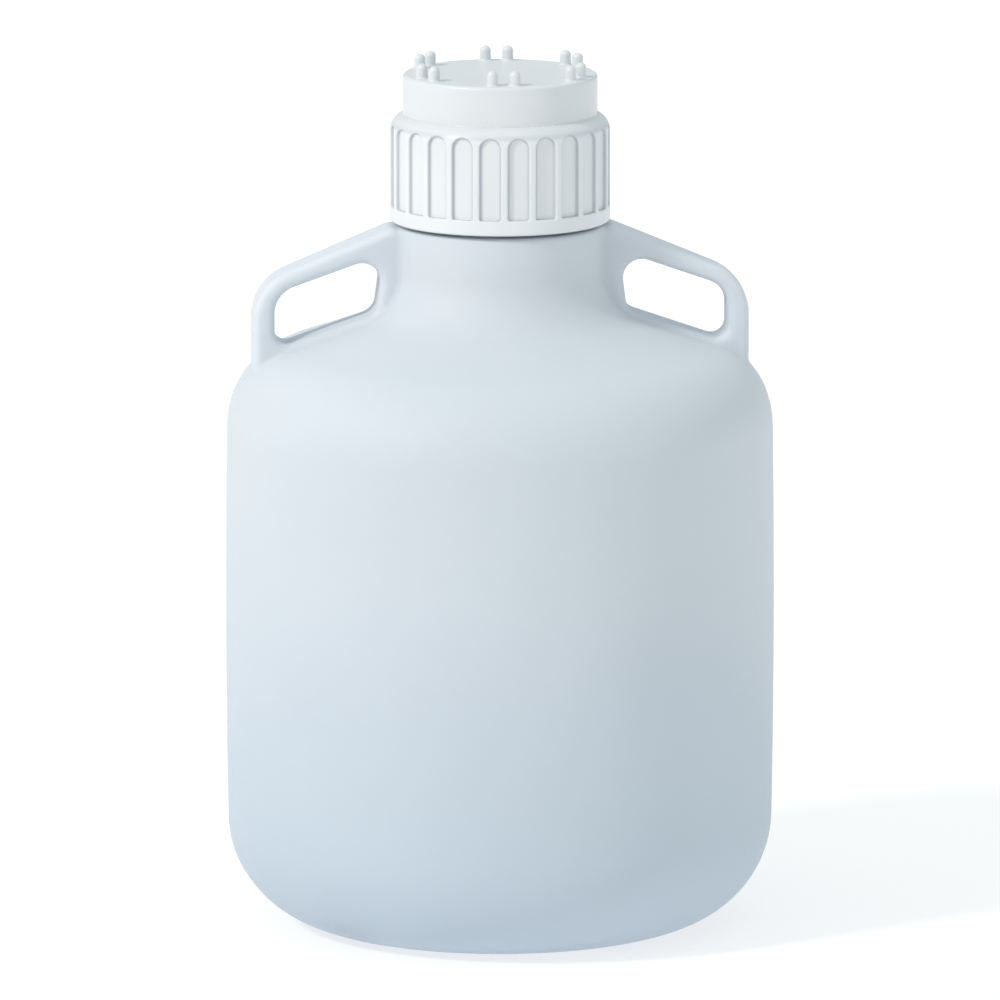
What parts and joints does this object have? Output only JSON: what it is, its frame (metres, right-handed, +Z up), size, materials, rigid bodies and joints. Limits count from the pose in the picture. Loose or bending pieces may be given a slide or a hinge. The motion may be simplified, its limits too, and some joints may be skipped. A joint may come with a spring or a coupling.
{
  "type": "carboy water jug",
  "caption": "Large cylindrical translucent plastic jug with two loop handles on its shoulder and a fluted screw closure with wrench pegs.",
  "frame": {"origin": "centre of the flat ring that the jug stands on", "axes": "+Z up along the bottle's axis of revolution; the handles point along +X and -X; +Y is the back"},
  "size_m": [0.2499, 0.25, 0.398],
  "materials": {
    "bottle_plastic": "milky translucent polyethylene, satin, very faintly blue",
    "closure_plastic": "opaque white polypropylene, satin",
    "gasket_rubber": "soft off-white thermoplastic elastomer, matt"
  },
  "bodies": {
    "bottle": {"bottle_body": "bottle_plastic", "left_handle": "bottle_plastic", "right_handle": "bottle_plastic"},
    "seal": {"gasket": "gasket_rubber"},
    "cap": {"closure": "closure_plastic"}
  },
  "joints": [
    {"name": "cap_lift", "type": "slide", "parent": "bottle", "child": "seal", "axis": [0, 0, 1], "range_m": [0, 0.0602]},
    {"name": "cap_turn", "type": "hinge", "parent": "seal", "child": "cap", "pos_m": [0, 0, 0.3575], "axis": [0, 0, 1], "range_deg": [0, 2160]}
  ],
  "couplings": [
    {"joint": "cap_lift", "follows": "cap_turn", "m_per_rad": 0.0015915}
  ]
}
